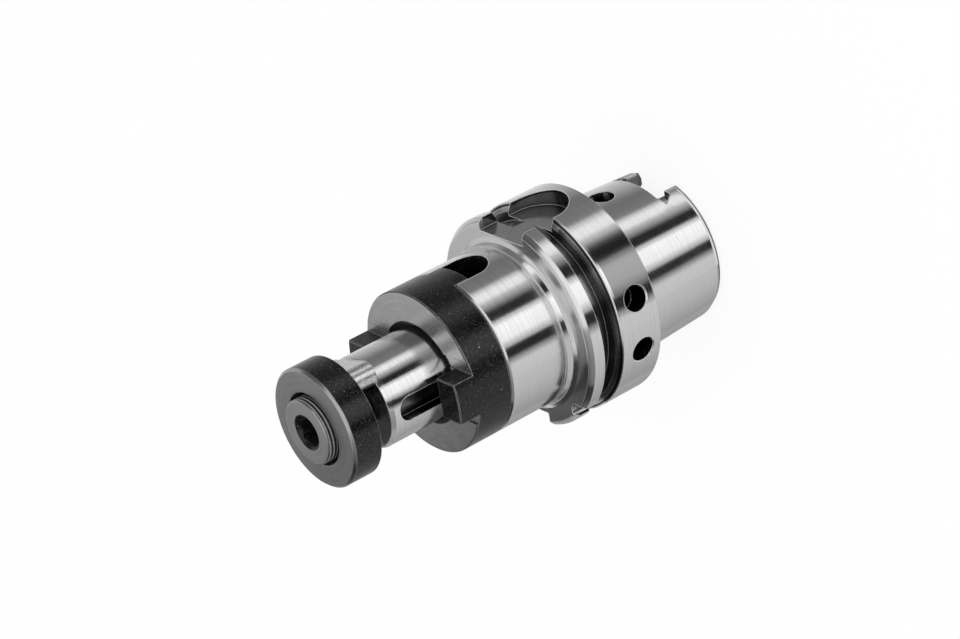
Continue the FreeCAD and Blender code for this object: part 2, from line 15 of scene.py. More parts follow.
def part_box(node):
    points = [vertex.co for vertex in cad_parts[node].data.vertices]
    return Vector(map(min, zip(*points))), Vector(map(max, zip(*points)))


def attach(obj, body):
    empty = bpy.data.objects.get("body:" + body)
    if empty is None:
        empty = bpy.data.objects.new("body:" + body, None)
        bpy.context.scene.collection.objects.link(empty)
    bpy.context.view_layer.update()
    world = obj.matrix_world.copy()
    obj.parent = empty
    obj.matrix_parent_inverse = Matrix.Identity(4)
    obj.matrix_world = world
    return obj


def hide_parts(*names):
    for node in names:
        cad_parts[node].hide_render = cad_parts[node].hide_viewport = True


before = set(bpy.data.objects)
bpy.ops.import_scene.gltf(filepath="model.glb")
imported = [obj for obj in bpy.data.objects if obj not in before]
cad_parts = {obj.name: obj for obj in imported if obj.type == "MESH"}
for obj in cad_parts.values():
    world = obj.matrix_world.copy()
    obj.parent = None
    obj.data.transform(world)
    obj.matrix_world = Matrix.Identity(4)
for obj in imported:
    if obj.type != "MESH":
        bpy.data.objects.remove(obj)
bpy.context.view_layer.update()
MM = 0.001

# %% [markdown]
# The photo was taken with a long lens, from in front of the screw and a little above.
# A camera was fitted to the flange, ring and spigot circles, so its place and turn are
# written down as they came out. The arbor stands on its shank here and lies in the
# photo, so the camera is rolled instead of the part.

# %% Camera
camera_data = bpy.data.cameras.new("camera")
camera_data.sensor_width = 36
camera_data.lens = 121.04
camera_data.clip_start = 0.05
camera = bpy.data.objects.new("camera", camera_data)
bpy.context.collection.objects.link(camera)
right = Vector((0.629203, -0.158847, -0.760836))
up = Vector((-0.256631, 0.881536, -0.396276))
back = Vector((0.733651, 0.444592, 0.513900))
turn = Matrix((right, up, back)).transposed()
camera.matrix_world = Matrix.Translation((0.65038, 0.40054, 0.52529)) @ turn.to_4x4()
bpy.context.scene.camera = camera
bpy.context.scene.view_settings.view_transform = "Standard"
print("camera at", [round(v, 3) for v in camera.matrix_world.translation])

# %% [markdown]
# Every material is built from nodes. One small function adds a node, sets what it is
# told and links what it is given: a socket, or a node, which stands for its first
# output. Colours are written as sRGB hex and turned to linear in one place.


# %% Node helper and colours
def add_node(tree, kind, inputs=None, **settings):
    made = tree.nodes.new(kind)
    for name, value in settings.items():
        setattr(made, name, value)
    for key, value in (inputs or {}).items():
        if isinstance(value, bpy.types.Node):
            value = value.outputs[0]
        if isinstance(value, bpy.types.NodeSocket):
            tree.links.new(value, made.inputs[key])
        else:
            made.inputs[key].default_value = value
    return made


def hex_colour(text):
    channels = [int(text[i:i + 2], 16) / 255 for i in (1, 3, 5)]
    linear = [c / 12.92 if c <= 0.04045 else ((c + 0.055) / 1.055) ** 2.4 for c in channels]
    return (*linear, 1.0)


def new_material(name):
    material = bpy.data.materials.new(name)
    material.use_nodes = True
    material.node_tree.nodes.clear()
    return material, functools.partial(add_node, material.node_tree)


print("white is", hex_colour("#FFFFFF")[:3])

# %% [markdown]
# A turned or ground part carries fine lines that run round its axis. On a cylinder they
# change with the height, on a flat face with the radius, so height plus radius gives one
# coordinate that draws both. An image would need an unwrapped mesh for the same lines.
# Coordinates are taken in millimetres, so a noise scale is a number of grains per
# millimetre. Real grinding lines are a few hundredths of a millimetre apart. That is too
# fine for the render, so every set of lines here is drawn coarser, as coarse as it needs
# to show.


# %% Coordinates that follow the lathe
def lathe_coordinates(node):
    source = node("ShaderNodeTexCoord")
    place = node("ShaderNodeVectorMath", {0: source.outputs["Object"], "Scale": 1 / MM},
                 operation="SCALE")
    x, y, z = node("ShaderNodeSeparateXYZ", {0: place}).outputs
    flat = node("ShaderNodeCombineXYZ", {0: x, 1: y})
    radius = node("ShaderNodeVectorMath", {0: flat}, operation="LENGTH").outputs["Value"]
    along = node("ShaderNodeMath", {0: z, 1: radius}, operation="ADD")
    facing = node("ShaderNodeSeparateXYZ", {0: source.outputs["Normal"]}).outputs
    return {"place": place, "x": x, "y": y, "z": z, "radius": radius,
            "along": along, "rise": facing["Z"], "sideways": facing["Y"]}


def turned_lines(node, at, line_mm, round_mm):
    spot = node("ShaderNodeCombineXYZ", {0: at["x"], 1: at["y"], 2: at["along"]})
    scaled = node("ShaderNodeVectorMath",
                  {0: spot, 1: (1 / round_mm, 1 / round_mm, 1 / line_mm)},
                  operation="MULTIPLY")
    return node("ShaderNodeTexNoise",
                {"Vector": scaled, "Scale": 1.0, "Detail": 3.0, "Roughness": 0.6})


print("object coordinates are scaled by", 1 / MM)

# %% [markdown]
# On ground steel the edges get a painted highlight, a bright line, and black oxide is rubbed
# through to the steel there, which is wear. The Bevel node gives the normal of a slightly
# rounded edge. Where it differs from the true normal there is an edge, at any angle, and no
# mask has to be painted onto the mesh.


# %% Edge mask
def edge_mask(node, width_mm, low, high):
    bevel = node("ShaderNodeBevel", {"Radius": width_mm * MM}, samples=6)
    true_normal = node("ShaderNodeNewGeometry").outputs["Normal"]
    dot = node("ShaderNodeVectorMath", {0: bevel, 1: true_normal}, operation="DOT_PRODUCT")
    bend = node("ShaderNodeMath", {0: 1.0, 1: dot.outputs["Value"]}, operation="SUBTRACT")
    return node("ShaderNodeMapRange", {0: bend, 1: low, 2: high}), bevel


print("edge masks need no painted layer")

# %% [markdown]
# The arbor was turned, milled, hardened and only then ground, so the grinding wheel
# never reached the slots and bores. Those walls stay darker and rougher. They could get
# a material of their own, face by face, but a point's depth below the turned outline
# finds them all. The outline tapers along the shank and is 31.5 mm at the flange, 24 mm
# at the body and 13.5 mm at the spigot. Heights, radii and depths are in millimetres.
# The flat end faces don't count as deep.

# %% Depth below the turned outline
RIM_HEIGHT = 0.05
TAPER_RADII = (22.7, 24.3)
FLANGE_BACK = 32.05
BEYOND_END = -40.0
OUTLINE_STEPS = [(FLANGE_BACK, 7.2), (57.95, -7.5), (79.95, -10.5), (112.95, BEYOND_END)]


def depth_below_outline(node, at):
    outline = node("ShaderNodeMapRange", {0: at["z"], 1: RIM_HEIGHT, 2: FLANGE_BACK,
                                          3: TAPER_RADII[0], 4: TAPER_RADII[1]})
    for height, step in OUTLINE_STEPS:
        past = node("ShaderNodeMath", {0: at["z"], 1: height}, operation="GREATER_THAN")
        outline = node("ShaderNodeMath", {0: past, 1: step, 2: outline},
                       operation="MULTIPLY_ADD")
    rim = node("ShaderNodeMath", {0: at["z"], 1: RIM_HEIGHT}, operation="LESS_THAN")
    outline = node("ShaderNodeMath", {0: rim, 1: BEYOND_END, 2: outline},
                   operation="MULTIPLY_ADD")
    return node("ShaderNodeMath", {0: outline, 1: at["radius"]}, operation="SUBTRACT")


def between_heights(node, at, low, high):
    above = node("ShaderNodeMath", {0: at["z"], 1: low}, operation="GREATER_THAN")
    below = node("ShaderNodeMath", {0: at["z"], 1: high}, operation="LESS_THAN")
    return node("ShaderNodeMath", {0: above, 1: below}, operation="MULTIPLY")


print("outline steps at", [step[0] for step in OUTLINE_STEPS], "mm")

# %% [markdown]
# Bores get the darkest painted shade, which deepens from just inside the mouth to a few
# millimetres down, and their mask is a distance from the bore's axis. The two balance bores of
# the flange mirror each other, so the absolute y serves both. The access holes of the shank
# run along Y, on both sides.

# %% Bores
BALANCE_BEARING = math.radians(14.6)
BALANCE_HEIGHT = 38.8
BALANCE_RADIUS = 3.76
ACCESS_HEIGHT = 21.5
ACCESS_RADIUS = 3.80
BORE_FADE = (0.4, 3.0)


def bore_shade_mask(node, at, depth):
    side = node("ShaderNodeMath", {0: at["y"]}, operation="ABSOLUTE")
    side = node("ShaderNodeMath", {0: side, 1: math.cos(BALANCE_BEARING)},
                operation="MULTIPLY")
    side = node("ShaderNodeMath", {0: at["x"], 1: -math.sin(BALANCE_BEARING), 2: side},
                operation="MULTIPLY_ADD")
    within = []
    for across, height, reach in ((side, BALANCE_HEIGHT, BALANCE_RADIUS),
                                  (at["x"], ACCESS_HEIGHT, ACCESS_RADIUS)):
        level = node("ShaderNodeMath", {0: at["z"], 1: height}, operation="SUBTRACT")
        away = node("ShaderNodeCombineXYZ", {0: across, 1: level})
        away = node("ShaderNodeVectorMath", {0: away}, operation="LENGTH").outputs["Value"]
        within.append(node("ShaderNodeMath", {0: away, 1: reach}, operation="LESS_THAN"))
    found = node("ShaderNodeMath", {0: within[0], 1: within[1]}, operation="MAXIMUM")
    # Painted shade in a bore grows with its depth.
    sunk = node("ShaderNodeMapRange", {0: depth, 1: BORE_FADE[0], 2: BORE_FADE[1]})
    return node("ShaderNodeMath", {0: found, 1: sunk}, operation="MULTIPLY")


print("bores at heights of", BALANCE_HEIGHT, "and", ACCESS_HEIGHT, "mm")

# %% [markdown]
# The flange's groove and slots have a line of painted shade just under their rims. The upright
# walls of the slots get painted shade too, and the rims of those walls a painted highlight, a
# bright line. The slots open towards +Y and -Y, so the normal of a wall has little or no y in
# it.

# %% Flange groove and slots
GROOVED_ZONE = (32.6, 56.4)
LINE_STARTS = (0.35, 0.45)
LINE_ENDS = (1.10, 0.95)
WALL_NORMAL = (0.30, 0.20)
WALL_DEPTH = 0.9
RIM_HIGHLIGHT_DEPTH = 0.42
SLOT_HALF_WIDTH = 9.6


def flange_slots(node, at, depth):
    flange = between_heights(node, at, *GROOVED_ZONE)
    # Painted shade: a dark line just under the rims.
    starts = node("ShaderNodeMapRange", {0: depth, 1: LINE_STARTS[0], 2: LINE_STARTS[1]})
    ends = node("ShaderNodeMapRange", {0: depth, 1: LINE_ENDS[0], 2: LINE_ENDS[1]})
    line = node("ShaderNodeMath", {0: starts, 1: ends}, operation="MULTIPLY")
    line = node("ShaderNodeMath", {0: line, 1: flange}, operation="MULTIPLY")
    # Painted shade on the upright walls of the slots.
    flat = node("ShaderNodeMath", {0: at["sideways"]}, operation="ABSOLUTE")
    wall = node("ShaderNodeMapRange", {0: flat, 1: WALL_NORMAL[0], 2: WALL_NORMAL[1]})
    wall = node("ShaderNodeMath", {0: wall, 1: flange}, operation="MULTIPLY")
    # Painted highlight on the rims of those walls.
    across = node("ShaderNodeMath", {0: at["x"]}, operation="ABSOLUTE")
    rim = node("ShaderNodeMath", {0: across, 1: SLOT_HALF_WIDTH}, operation="LESS_THAN")
    rim = node("ShaderNodeMath", {0: rim, 1: wall}, operation="MULTIPLY")
    upper = node("ShaderNodeMath", {0: depth, 1: RIM_HIGHLIGHT_DEPTH}, operation="LESS_THAN")
    rim = node("ShaderNodeMath", {0: rim, 1: upper}, operation="MULTIPLY")
    under = node("ShaderNodeMath", {0: depth, 1: WALL_DEPTH}, operation="GREATER_THAN")
    wall = node("ShaderNodeMath", {0: wall, 1: under}, operation="MULTIPLY")
    return line, wall, rim


print("groove and slots between heights", GROOVED_ZONE)

# %% [markdown]
# Beside the balance bores the flange's rear land has a patch that is coarser and darker
# than the rest. It fades out sideways within a few degrees.

# %% Ground patch
PATCH_BEARING = math.radians(34)
PATCH_FADE = (math.radians(17), math.radians(13))
REAR_LAND = (32.1, 45.2)


def ground_patch(node, at):
    bearing = node("ShaderNodeMath", {0: at["y"], 1: at["x"]}, operation="ARCTAN2")
    away = node("ShaderNodeMath", {0: bearing, 1: PATCH_BEARING}, operation="SUBTRACT")
    away = node("ShaderNodeMath", {0: away}, operation="ABSOLUTE")
    near = node("ShaderNodeMapRange", {0: away, 1: PATCH_FADE[0], 2: PATCH_FADE[1]})
    land = between_heights(node, at, *REAR_LAND)
    return node("ShaderNodeMath", {0: near, 1: land}, operation="MULTIPLY")


print("patch at", round(math.degrees(PATCH_BEARING)), "degrees, heights", REAR_LAND)

# %% [markdown]
# These masks say where the steel is not simply ground, or where light is painted on it. Inside
# is what lies under the ground skin, and deep is well under it, where the steel gets painted
# shade. A notch is an end slot or the keyway, and both lie beyond the arbor's middle part;
# notches get painted shade too. The rear rim gets painted shade and no painted highlight on
# its edge.

# %% Steel masks
INSIDE_DEPTHS = (0.7, 1.6)
DEEP_DEPTHS = (5.4, 7.5)
END_SLOTS_TOP = 15.0
KEYWAY_FOOT = 92.5
REAR_RIM_TOP = 1.6
LEVEL_NORMAL = (0.90, 0.99)


def steel_masks(node, at):
    depth = depth_below_outline(node, at)
    inside = node("ShaderNodeMapRange", {0: depth, 1: INSIDE_DEPTHS[0], 2: INSIDE_DEPTHS[1]})
    # Painted shade, darker well under the outline.
    deep_shade = node("ShaderNodeMapRange", {0: depth, 1: DEEP_DEPTHS[0], 2: DEEP_DEPTHS[1]})
    rim_shade_line, slot_wall_shade, slot_rim_highlight = flange_slots(node, at, depth)
    # Painted shade in the end slots and the keyway.
    middle = (END_SLOTS_TOP + KEYWAY_FOOT) / 2
    notch_shade = node("ShaderNodeMath", {0: at["z"], 1: middle}, operation="SUBTRACT")
    notch_shade = node("ShaderNodeMath", {0: notch_shade}, operation="ABSOLUTE")
    notch_shade = node("ShaderNodeMath", {0: notch_shade, 1: KEYWAY_FOOT - middle},
                 operation="GREATER_THAN")
    notch_shade = node("ShaderNodeMath", {0: notch_shade, 1: inside}, operation="MULTIPLY")
    # Painted shade: the rear rim is darker, and its edge gets no painted highlight.
    rear_rim_shade = node("ShaderNodeMath", {0: at["z"], 1: REAR_RIM_TOP}, operation="LESS_THAN")
    # On the steel this edge mask carries a painted highlight, a bright line on every edge.
    edge, rounded = edge_mask(node, width_mm=0.45, low=0.02, high=0.16)
    edge = node("ShaderNodeMath", {0: edge, 1: rear_rim_shade}, operation="SUBTRACT",
                use_clamp=True)
    edge = node("ShaderNodeMath", {0: edge, 1: slot_rim_highlight}, operation="MAXIMUM")
    level = node("ShaderNodeMath", {0: at["rise"]}, operation="ABSOLUTE")
    level = node("ShaderNodeMapRange", {0: level, 1: LEVEL_NORMAL[0], 2: LEVEL_NORMAL[1]})
    masks = {"inside": inside, "deep_shade": deep_shade, "rim shade line": rim_shade_line, "slot wall shade": slot_wall_shade,
             "notch_shade": notch_shade, "rear rim shade": rear_rim_shade, "bore_shade": bore_shade_mask(node, at, depth),
             "patch": ground_patch(node, at), "edge": edge, "level": level}
    return masks, rounded


print("notches below", END_SLOTS_TOP, "and above", KEYWAY_FOOT, "mm")

# %% [markdown]
# Tool steel, hardened and ground, is a bare metal, so to the eye all its tone comes from what
# it mirrors. Its own colour is a light neutral with fine streaks and sparse specks, and each
# mask has one other tone. Milled walls inside are mottled by a grit of half a millimetre,
# which is coarser than real, so that it shows, and the patch is darker. The other tones are
# painted light: painted shade on the rear rim, the slot walls, the line under the rims, the
# notches, deep places and bores, and a painted highlight on the edges. Corners inside slots
# get painted shade as well, which the occlusion of a point measures.

# %% Steel tone
SPECKS_PER_MM = 0.9
GRIT_PER_MM = 2.0
# Most of these tones are painted light: shade for the rear rim, slot walls, rim line, notches,
# deep places and bores, and a highlight for the edges.
MASK_TONES = [("patch", "#949494"), ("rear rim shade", "#6A6A6A"), ("inside", None),
              ("slot wall shade", "#6E6E6E"), ("rim shade line", "#343434"), ("notch_shade", "#6A6A6A"),
              ("deep_shade", "#3A3A3B"), ("bore_shade", "#242425"), ("edge", "#F0F0F0")]
CORNER_SHADE_REACH = 3.5 * MM


def steel_tone(node, at, fine, masks):
    speck = node("ShaderNodeTexNoise", {"Vector": at["place"], "Scale": SPECKS_PER_MM,
                                        "Detail": 4.0, "Roughness": 0.7})
    grit = node("ShaderNodeTexNoise", {"Vector": at["place"], "Scale": GRIT_PER_MM,
                                       "Detail": 2.0, "Roughness": 0.6})
    tone = node("ShaderNodeMix", {0: node("ShaderNodeMapRange", {0: fine, 1: 0.35, 2: 0.65}),
                                  6: hex_colour("#D2D2D2"), 7: hex_colour("#E0E0E0")},
                data_type="RGBA").outputs[2]
    spots = node("ShaderNodeMapRange", {0: speck, 1: 0.69, 2: 0.74, 3: 0.0, 4: 0.75})
    tone = node("ShaderNodeMix", {0: spots, 6: tone, 7: hex_colour("#5C5B58")},
                data_type="RGBA").outputs[2]
    milled = node("ShaderNodeMix", {0: node("ShaderNodeMapRange", {0: grit, 1: 0.3, 2: 0.7}),
                                    6: hex_colour("#828282"), 7: hex_colour("#9E9E9E")},
                  data_type="RGBA").outputs[2]
    for name, colour in MASK_TONES:
        # The inside has no tone in the list, because its milled walls are mottled.
        colour = hex_colour(colour) if colour else milled
        tone = node("ShaderNodeMix", {0: masks[name], 6: tone, 7: colour},
                    data_type="RGBA").outputs[2]
    # Painted shade: inside, corners are darkened by their occlusion, down to a fifth of their
    # tone.
    painted_shade_scale = node("ShaderNodeAmbientOcclusion", {"Distance": CORNER_SHADE_REACH},
                    samples=8).outputs["AO"]
    painted_shade_scale = node("ShaderNodeMapRange", {0: painted_shade_scale, 1: 0.35, 2: 0.80, 3: 0.2, 4: 1.0})
    corner_shade_scale = node("ShaderNodeMix", {0: masks["inside"], 2: 1.0, 3: painted_shade_scale},
                data_type="FLOAT")
    return node("ShaderNodeVectorMath", {0: tone, "Scale": corner_shade_scale}, operation="SCALE")


print(len(MASK_TONES), "tones for the steel's masks")

# %% [markdown]
# The grinding lines run round the part and smear reflections across themselves, along
# the axis on a cylinder and along the radius on a flat face. The eye sees long bright
# and dark bands with soft ends. The tangent circles the axis, so the anisotropy is
# turned by a quarter. Cylinders are smoothest. The lines are fine where the wheel
# passed, and coarse tool marks inside grooves and slots. Each set of lines has its width
# across and its length round the part in millimetres.

# %% Ground steel
FINE_LINES = (0.16, 25.0)
COARSE_LINES = (0.55, 40.0)
CLOUDS_PER_MM = 0.09
ADDED_ROUGHNESS = [("level", 0.03), ("inside", 0.03), ("patch", 0.04)]


def ground_steel(name):
    material, node = new_material(name)
    at = lathe_coordinates(node)
    fine = turned_lines(node, at, *FINE_LINES)
    coarse = turned_lines(node, at, *COARSE_LINES)
    masks, rounded = steel_masks(node, at)
    tone = steel_tone(node, at, fine, masks)
    # Painted highlight: the edges are less metallic and paler, so they light up as a bright
    # line.
    metal = node("ShaderNodeMapRange", {0: masks["edge"], 3: 1.0, 4: 0.45})
    broad = node("ShaderNodeTexNoise", {"Vector": at["place"], "Scale": CLOUDS_PER_MM,
                                        "Detail": 4.0, "Roughness": 0.6})
    rough = node("ShaderNodeMapRange", {0: broad, 1: 0.3, 2: 0.7, 3: 0.135, 4: 0.175})
    for mask, added in ADDED_ROUGHNESS:
        rough = node("ShaderNodeMath", {0: masks[mask], 1: added, 2: rough},
                     operation="MULTIPLY_ADD", use_clamp=True)
    marked = node("ShaderNodeMath", {0: masks["inside"], 1: masks["patch"]},
                  operation="MAXIMUM")
    lines = node("ShaderNodeMix", {0: marked, 2: fine, 3: coarse}, data_type="FLOAT")
    height = node("ShaderNodeMapRange", {0: marked, 3: 0.08, 4: 1.3})
    lines = node("ShaderNodeMath", {0: lines, 1: height}, operation="MULTIPLY")
    bump = node("ShaderNodeBump", {"Height": lines, "Distance": 0.006 * MM,
                                   "Strength": 1.0, "Normal": rounded})
    tangent = node("ShaderNodeTangent", direction_type="RADIAL", axis="Z")
    shader = node("ShaderNodeBsdfPrincipled", {
        "Base Color": tone, "Metallic": metal, "Roughness": rough, "Anisotropic": 0.8,
        "Anisotropic Rotation": 0.25, "Normal": bump, "Tangent": tangent})
    node("ShaderNodeOutputMaterial", {"Surface": shader})
    return material


steel = ground_steel("ground_tool_steel")
print("steel has", len(steel.node_tree.nodes), "nodes")

# %% [markdown]
# The loose feather key is bright drawn steel with coarse milled ends, so it has no
# lathe lines, and to the eye it is brighter and more even than the arbor. Its grain is a
# slightly patchy noise of half a millimetre, coarser than real, in tone and in bump. The
# bump starts from the rounded normal, which softens the key's edges.

# %% Key steel
GRAINS_PER_METRE = 2200.0

key_steel, node = new_material("milled_key_steel")
place = node("ShaderNodeTexCoord").outputs["Object"]
grain = node("ShaderNodeTexNoise", {"Vector": place, "Scale": GRAINS_PER_METRE,
                                    "Detail": 3.0, "Roughness": 0.7})
rounded = edge_mask(node, width_mm=0.3, low=0.02, high=0.30)[1]
tone = node("ShaderNodeMix", {0: node("ShaderNodeMapRange", {0: grain, 1: 0.35, 2: 0.65}),
                              6: hex_colour("#B4B4B3"), 7: hex_colour("#F4F4F3")},
            data_type="RGBA").outputs[2]
bump = node("ShaderNodeBump", {"Height": grain, "Distance": 0.03 * MM, "Strength": 1.0,
                               "Normal": rounded})
shader = node("ShaderNodeBsdfPrincipled", {"Base Color": tone, "Metallic": 1.0,
                                           "Roughness": 0.30, "Normal": bump})
node("ShaderNodeOutputMaterial", {"Surface": shader})
print("key steel has", len(key_steel.node_tree.nodes), "nodes")

# %% [markdown]
# Ring, disc and screw are blackened. The turned rims are smooth and darkest, the faced
# fronts are duller and look grey. Handling rubs the edges, the front chamfers and the
# lands of a grooved side down to the steel, and it leaves fine specks. Nothing is rubbed
# or faced inside a bore or the socket. One function serves all three pieces, so that the
# pieces differ only in a few values.

# %% Black oxide masks
# A height or radius in millimetres that no point reaches.
BEYOND = 200.0


def oxide_masks(node, at, hole, chamfer, face_top, rub):
    # hole is the bore's radius and chamfer the share of steel that shows on the front
    # chamfer. Faces are grey below face_top, and sides are rubbed beyond the radius rub.
    edge, rounded = edge_mask(node, width_mm=0.34, low=0.012, high=0.10)
    speck = node("ShaderNodeTexNoise", {"Vector": at["place"], "Scale": SPECKS_PER_MM,
                                        "Detail": 4.0, "Roughness": 0.7})
    ragged = node("ShaderNodeMapRange", {0: speck, 1: 0.36, 2: 0.60, 3: 0.45, 4: 0.95})
    worn = node("ShaderNodeMath", {0: edge, 1: ragged}, operation="MULTIPLY")
    spots = node("ShaderNodeMapRange", {0: speck, 1: 0.68, 2: 0.74, 3: 0.0, 4: 0.7})
    worn = node("ShaderNodeMath", {0: worn, 1: spots}, operation="MAXIMUM")
    sloped = node("ShaderNodeMapRange", {0: at["rise"], 1: 0.35, 2: 0.6, 3: 0.0, 4: chamfer})
    steep = node("ShaderNodeMapRange", {0: at["rise"], 1: 0.92, 2: 0.82})
    sloped = node("ShaderNodeMath", {0: sloped, 1: steep}, operation="MULTIPLY")
    worn = node("ShaderNodeMath", {0: worn, 1: sloped}, operation="MAXIMUM")
    front = node("ShaderNodeMapRange", {0: at["rise"], 1: 0.85, 2: 0.97})
    lower = node("ShaderNodeMath", {0: at["z"], 1: face_top}, operation="LESS_THAN")
    front = node("ShaderNodeMath", {0: front, 1: lower}, operation="MULTIPLY")
    outer = node("ShaderNodeMath", {0: at["radius"], 1: hole}, operation="GREATER_THAN")
    worn = node("ShaderNodeMath", {0: worn, 1: outer}, operation="MULTIPLY")
    front = node("ShaderNodeMath", {0: front, 1: outer}, operation="MULTIPLY")
    rubbed = node("ShaderNodeMath", {0: at["radius"], 1: rub}, operation="GREATER_THAN")
    upright = node("ShaderNodeMapRange", {0: at["rise"], 1: 0.3, 2: 0.1, 3: 0.0, 4: 0.65})
    rubbed = node("ShaderNodeMath", {0: rubbed, 1: upright}, operation="MULTIPLY")
    return front, worn, rubbed, rounded


print("black pieces share one set of masks")

# %% [markdown]
# Hot black oxide is a thin magnetite skin. The eye sees a satin black with the sheen of
# the oil it was dipped in, so its gloss is that of an oil film with an IOR of 1.40, and
# not of a metal. Dust sits on it as grey grain, coarser than real, so that it shows.
# Corners hold oil, so they are matt, and they get painted shade that makes them black; the
# occlusion of a point finds them. The ring's two lugs rise above its front, and their tops are
# as black as its rim.

# %% Black oxide
OXIDE_LINES = (0.22, 18.0)
MOTTLES_PER_MM = 0.16
DUST_PER_MM = 2.6
RUBBED_STEEL = "#CFCFCE"
DUST = "#6A6A6A"
SHADE_AND_OIL_REACH = 3.0 * MM


def black_oxide(name, rim, face, face_metal, hole, chamfer, face_top=BEYOND, rub=BEYOND):
    material, node = new_material(name)
    at = lathe_coordinates(node)
    fine = turned_lines(node, at, *OXIDE_LINES)
    cloud = node("ShaderNodeTexNoise", {"Vector": at["place"], "Scale": MOTTLES_PER_MM,
                                        "Detail": 6.0, "Roughness": 0.65})
    grit = node("ShaderNodeTexNoise", {"Vector": at["place"], "Scale": DUST_PER_MM,
                                       "Detail": 3.0, "Roughness": 0.7})
    front, worn, rubbed, rounded = oxide_masks(node, at, hole, chamfer, face_top, rub)
    # Occlusion finds the corners: they get painted shade, and oil makes them matt.
    shade_and_oil = node("ShaderNodeAmbientOcclusion", {"Distance": SHADE_AND_OIL_REACH},
                samples=8).outputs["AO"]
    shade_and_oil = node("ShaderNodeMapRange", {0: shade_and_oil, 1: 0.65, 2: 0.25})

    # Tone: a mottled rim with dust, a streaked front, then what is rubbed bright, and painted
    # shade in the corners.
    mottle = node("ShaderNodeMapRange", {0: cloud, 1: 0.35, 2: 0.70})
    tone = node("ShaderNodeMix", {0: mottle, 6: hex_colour(rim[0]), 7: hex_colour(rim[1])},
                data_type="RGBA").outputs[2]
    dust = node("ShaderNodeMapRange", {0: grit, 1: 0.58, 2: 0.70, 3: 0.0, 4: 0.8})
    streak = node("ShaderNodeMapRange", {0: fine, 1: 0.35, 2: 0.65})
    faced = node("ShaderNodeMix", {0: streak, 6: hex_colour(face[0]), 7: hex_colour(face[1])},
                 data_type="RGBA").outputs[2]
    for mask, colour in ((dust, hex_colour(DUST)), (front, faced),
                         (worn, hex_colour(RUBBED_STEEL)), (rubbed, hex_colour(RUBBED_STEEL))):
        tone = node("ShaderNodeMix", {0: mask, 6: tone, 7: colour},
                    data_type="RGBA").outputs[2]
    # Painted shade: corners darken to three tenths of their tone.
    painted_shade_scale = node("ShaderNodeMapRange", {0: shade_and_oil, 3: 1.0, 4: 0.3})
    tone = node("ShaderNodeVectorMath", {0: tone, "Scale": painted_shade_scale}, operation="SCALE")

    # Metal: the fronts are partly bare, and worn places wholly.
    metal = node("ShaderNodeMath", {0: front, 1: face_metal}, operation="MULTIPLY")
    bare = node("ShaderNodeMath", {0: worn, 1: 2.0}, operation="MULTIPLY", use_clamp=True)
    metal = node("ShaderNodeMath", {0: metal, 1: bare}, operation="MAXIMUM")
    rough = node("ShaderNodeMapRange", {0: cloud, 1: 0.3, 2: 0.7, 3: 0.23, 4: 0.33})
    rough = node("ShaderNodeMath", {0: shade_and_oil, 1: 0.4, 2: rough}, operation="MULTIPLY_ADD",
                 use_clamp=True)
    bump = node("ShaderNodeBump", {"Height": fine, "Distance": 0.0022 * MM,
                                   "Strength": 1.0, "Normal": rounded})
    tangent = node("ShaderNodeTangent", direction_type="RADIAL", axis="Z")
    shader = node("ShaderNodeBsdfPrincipled", {
        "Base Color": tone, "Metallic": metal, "Roughness": rough, "IOR": 1.40,
        "Anisotropic": 0.6, "Anisotropic Rotation": 0.25, "Normal": bump,
        "Tangent": tangent, "Sheen Weight": 0.15, "Sheen Roughness": 0.25})
    node("ShaderNodeOutputMaterial", {"Surface": shader})
    return material


ring_black = black_oxide("black_oxide_ring", ("#050506", "#0C0C0D"), ("#B2B2B2", "#C8C8C8"),
                         face_metal=0.92, hole=15.3, chamfer=0.10, face_top=95.0)
disc_black = black_oxide("black_oxide_disc", ("#060607", "#0E0E0F"), ("#7D7D7D", "#8A8A8A"),
                         face_metal=0.60, hole=9.0, chamfer=0.65)
screw_black = black_oxide("black_oxide_screw", ("#060607", "#0E0E0F"), ("#8E8E8E", "#9A9A9A"),
                          face_metal=0.60, hole=5.28, chamfer=0.60, rub=9.42)
print("black oxide has", len(ring_black.node_tree.nodes), "nodes, three times")

# %% [markdown]
# Each piece gets its finish through the material slots that it came with, so its mesh
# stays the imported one.

# %% Finishes
finishes = {
    "arbor_body": steel,
    "feather_key": key_steel,
    "drive_ring": ring_black,
    "clamping_disc": disc_black,
    "clamping_screw": screw_black,
}
for name, material in finishes.items():
    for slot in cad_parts[name].material_slots:
        slot.material = material
    print(name, "has", material.name)

# %% [markdown]
# The screw's thread shows in the gap behind the disc, where the stored key lies. The CAD
# solid is a plain cylinder there, so a copy of it is turned down to the thread's core.
# Only the cylinder's points lie between the two radii below the head's seat.

# %% Screw core
CORE = 5.05 * MM
THREAD_RADII = (5.5 * MM, 6.5 * MM)
HEAD_HEIGHT = 7.6 * MM
NEAR = 0.01 * MM
SAME_POINT = 1e-6

screw_low, screw_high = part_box("clamping_screw")
SEAT = screw_high[2] - HEAD_HEIGHT
core_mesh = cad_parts["clamping_screw"].data.copy()
shape = bmesh.new()
shape.from_mesh(core_mesh)
bmesh.ops.remove_doubles(shape, verts=shape.verts, dist=SAME_POINT)
for vertex in shape.verts:
    reach = math.hypot(vertex.co.x, vertex.co.y)
    if vertex.co.z < SEAT + NEAR and THREAD_RADII[0] < reach < THREAD_RADII[1]:
        vertex.co.x *= CORE / reach
        vertex.co.y *= CORE / reach
print("core from", round(screw_low[2] / MM, 1), "to", round(SEAT / MM, 1), "mm")

# %% [markdown]
# The side of the screw's head has shallow turned grooves. A bump in the material would
# not notch the outline, so the copy is cut at three heights for each groove, and the
# middle ring of points is pulled in.

